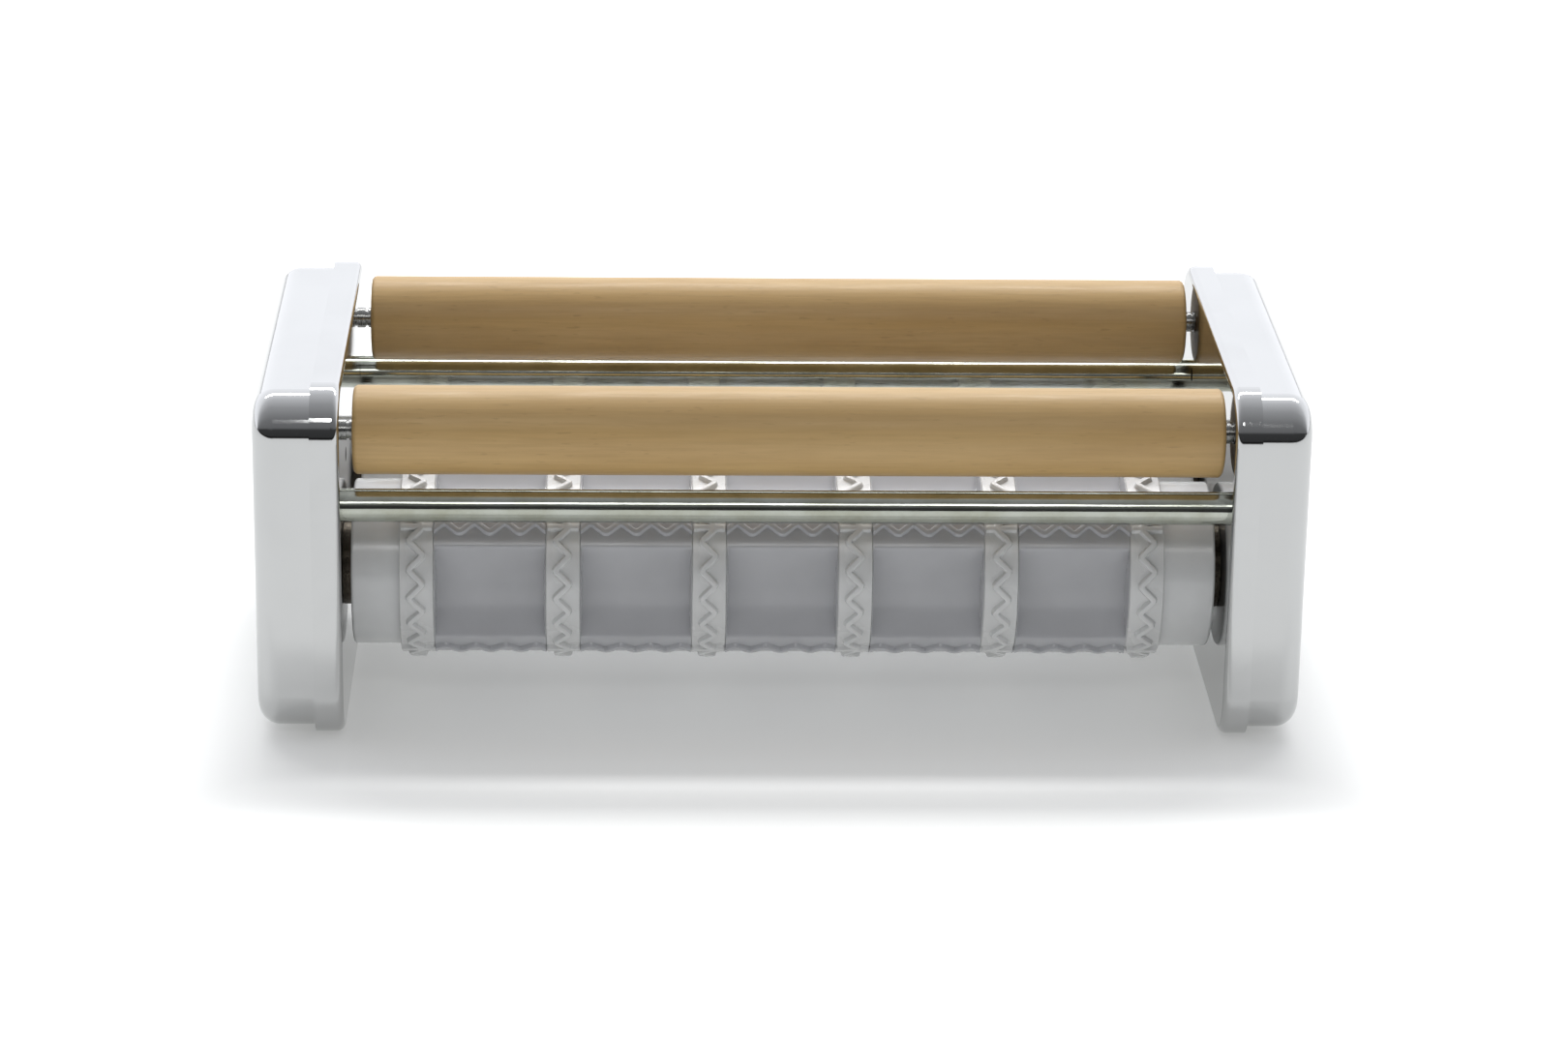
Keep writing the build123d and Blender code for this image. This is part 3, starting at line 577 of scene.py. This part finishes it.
def finished_mesh(mesh, name):
    """A mesh from bmesh with its faces turned outwards and its sharp edges marked."""
    bmesh.ops.recalc_face_normals(mesh, faces=mesh.faces)
    data = bpy.data.meshes.new(name)
    mesh.to_mesh(data)
    mesh.free()
    data.polygons.foreach_set("use_smooth", [True] * len(data.polygons))
    data.set_sharp_from_angle(angle=crease_angle)
    return data


def moulded_in_one(body, walls, plastic, name):
    """The body and its walls joined into one skin of a plastic."""
    holders = []
    for part_name, data in (("body", body), ("walls", walls)):
        holder = bpy.data.objects.new(f"{name}_{part_name}", data)
        bpy.context.scene.collection.objects.link(holder)
        holders.append(holder)
    join = holders[0].modifiers.new("join", "BOOLEAN")
    join.operation = "UNION"
    join.solver = "EXACT"
    join.object = holders[1]
    join.use_self = True
    evaluated = holders[0].evaluated_get(bpy.context.evaluated_depsgraph_get())
    data = bpy.data.meshes.new_from_object(evaluated)
    data.name = name
    for holder in holders:
        bpy.data.objects.remove(holder)
    data.polygons.foreach_set("use_smooth", [True] * len(data.polygons))
    data.set_sharp_from_angle(angle=crease_angle)
    data.materials.clear()
    data.materials.append(plastic)
    return data


rib_outline = [                     # along the roller, radius; None stands for the bore
    (-rib_width / 2, None), (-rib_width / 2, rib_radius - rib_edge), (-rib_width / 2 + rib_edge, rib_radius),
    (rib_width / 2 - rib_edge, rib_radius), (rib_width / 2, rib_radius - rib_edge), (rib_width / 2, None),
]
rib_body = bmesh.new()
rings = []
for x, radius in rib_outline:
    angles = [step * 2 * pi / round_steps for step in range(round_steps)]
    rings.append([rib_body.verts.new(on_roller(x, angle, radius or bore_radius(angle))) for angle in angles])
for first, second in zip(rings, rings[1:] + rings[:1]):
    for i in range(round_steps):
        j = (i + 1) % round_steps
        rib_body.faces.new((first[i], first[j], second[j], second[i]))

rib_walls = bmesh.new()
for k in range(quarters):
    start = ridge_angle + k * quarter
    path = []
    for step in range(path_steps + 1):
        share = step / path_steps
        x = zigzag_offset + zigzag_half_height * rounded_zigzag(legs_per_quarter * share, rib_corner)
        path.append((x, start + quarter * share))
    wall_strip(rib_walls, path, along_roller=False)
    cross_half = rib_width / 2 - 2 * rib_edge
    cross_path = [(-cross_half, start), (cross_half, start)]
    wall_strip(rib_walls, cross_path, along_roller=True)
rib_skin = moulded_in_one(finished_mesh(rib_body, "rib_body"), finished_mesh(rib_walls, "rib_walls"),
                          rib_plastic, "rib_skin")


def mirrored(data, name, across):
    """A mirror copy across one direction."""
    copy = data.copy()
    copy.name = name
    copy.transform(Matrix.Diagonal([-1 if axis == across else 1 for axis in "xyz"] + [1]))
    copy.flip_normals()
    return copy


def set_on_shaft(skin, kind, number, row):
    """A ring or drum at its CAD node's place along the shaft, riding on that roller."""
    node = f"{row}_{kind}_{number}"
    low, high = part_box(node)
    shaft_low, shaft_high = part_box(f"{row}_roller_shaft")
    piece = bpy.data.objects.new(f"{node}_moulding", skin)
    bpy.context.scene.collection.objects.link(piece)
    piece.location = ((low[0] + high[0]) / 2, (shaft_low[1] + shaft_high[1]) / 2,
                      (shaft_low[2] + shaft_high[2]) / 2)
    bpy.context.view_layer.update()
    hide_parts(node)
    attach(piece, f"{row}_forming_roller")


rib_numbers = range(1, 7)           # from the left, on each shaft
turned_ribs = (5, 6)                # these went on the shaft the other way round
rear_rib_skin = mirrored(rib_skin, "rear_rib_skin", "y")
for row, skin in (("front", rib_skin), ("rear", rear_rib_skin)):
    turned_skin = mirrored(skin, f"{row}_turned_rib_skin", "x")
    for number in rib_numbers:
        set_on_shaft(turned_skin if number in turned_ribs else skin, "rib", number, row)

# ---- Pocket drums -------------------------------------------------------------------------------------
# Drums of the same plastic between the ribs, each with four scooped pockets that shape the filling. A wavy
# crimping wall runs along the land between two pockets, and the pockets' ends are drafted.
joint_gap = 0.00005                 # between a drum and the rib beside it
drum_width = 0.030 - rib_width - 2 * joint_gap
land_half_angle = 0.0042 / rib_radius
pocket_depth = 0.00575
mouth_half_angle = quarter / 2 - land_half_angle
chord_distance = rib_radius * cos(mouth_half_angle)
sagitta = pocket_depth - (rib_radius - chord_distance)
scoop_radius = ((rib_radius * sin(mouth_half_angle)) ** 2 + sagitta ** 2) / (2 * sagitta)
scoop_centre = chord_distance + scoop_radius - sagitta
mouth_rounding = 0.00022
end_land = 0.00012                  # of a pocket's end wall at the drum's surface
end_draft = tan(radians(3))
floor_rounding = 0.0003             # where a pocket's end wall meets its floor
wave_length = 0.0062
wave_half_height = 0.00095


def soft_max(a, b, width):
    """The larger of two values, rounded over where they are close."""
    return (a + b + sqrt((a - b) ** 2 + width ** 2)) / 2


def pocket_floor_depth(angle):
    """Of the scoop below the drum's surface, at an angle from the roller's outer side."""
    off = (angle - ridge_angle) % quarter - quarter / 2
    if scoop_centre * abs(sin(off)) >= scoop_radius:
        return -rib_radius
    floor_radius = scoop_centre * cos(off) - sqrt(scoop_radius ** 2 - (scoop_centre * sin(off)) ** 2)
    return rib_radius - floor_radius


def drum_depth(from_end, angle):
    """Of the drum's surface below the ribs' own, rounded at the pocket's rim and floor."""
    scoop_depth = pocket_floor_depth(angle)
    floor_depth = soft_max(scoop_depth, 0.0, mouth_rounding) if abs(scoop_depth) < rib_radius else 0.0
    wall_depth = max(from_end - end_land, 0.0) / end_draft
    return max(-soft_max(-floor_depth, -wall_depth, floor_rounding), 0.0)


end_stations = [0, 0.00006, 0.00012, 0.00016, 0.00021, 0.00027, 0.00033, 0.00039, 0.00045, 0.00050, 0.00055,
                0.00060, 0.00066, 0.00075, 0.0009, 0.0012, 0.0018]
middle_stations = 9
stations = [-drum_width / 2 + u for u in end_stations]
inner_half = drum_width / 2 - end_stations[-1]
stations += [inner_half * (2 * i / middle_stations - 1) for i in range(1, middle_stations)]
stations += [drum_width / 2 - u for u in reversed(end_stations)]
drum_body = bmesh.new()
drum_steps = 360
angles = [step * 2 * pi / drum_steps for step in range(drum_steps)]
rings = [[drum_body.verts.new(on_roller(-drum_width / 2, angle, bore_radius(angle))) for angle in angles]]
for x in stations:
    from_end = drum_width / 2 - abs(x)
    rings.append([drum_body.verts.new(on_roller(x, angle, rib_radius - drum_depth(from_end, angle)))
                  for angle in angles])
rings.append([drum_body.verts.new(on_roller(drum_width / 2, angle, bore_radius(angle))) for angle in angles])
for first, second in zip(rings, rings[1:] + rings[:1]):
    for i in range(drum_steps):
        j = (i + 1) % drum_steps
        drum_body.faces.new((first[i], first[j], second[j], second[i]))

drum_walls = bmesh.new()
for k in range(quarters):
    path = []
    for step in range(path_steps + 1):
        x = drum_width * (step / path_steps - 0.5)
        wave = -wave_half_height * rounded_zigzag(2 * x / wave_length, land_corner)
        path.append((x, ridge_angle + k * quarter + wave / rib_radius))
    wall_strip(drum_walls, path, along_roller=True)
# Coloured darker than the ribs' plastic: a painted shade of the deep pockets.
drum_plastic_painted_shade = moulded_plastic("drum_plastic_painted_shade", (0.54, 0.545, 0.565), 0.16, 70.0)
drum_skin = moulded_in_one(finished_mesh(drum_body, "drum_body"), finished_mesh(drum_walls, "drum_walls"),
                           drum_plastic_painted_shade, "drum_skin")
for row, skin in (("front", drum_skin), ("rear", mirrored(drum_skin, "rear_drum_skin", "y"))):
    for number in rib_numbers[:-1]:
        set_on_shaft(skin, "pocket_drum", number, row)

# ---- End sleeves --------------------------------------------------------------------------------------
# Plain sleeves of the same plastic that fill the shafts between the outer ribs and the bushes.
# Coloured lighter than the ribs' plastic: a painted light on the sleeves.
sleeve_plastic_painted_light = moulded_plastic("sleeve_plastic_painted_light", (0.84, 0.85, 0.85), 0.14, 90.0)
dress([f"{row}_{side}_end_sleeve" for row in ("front", "rear") for side in ("left", "right")], sleeve_plastic_painted_light)
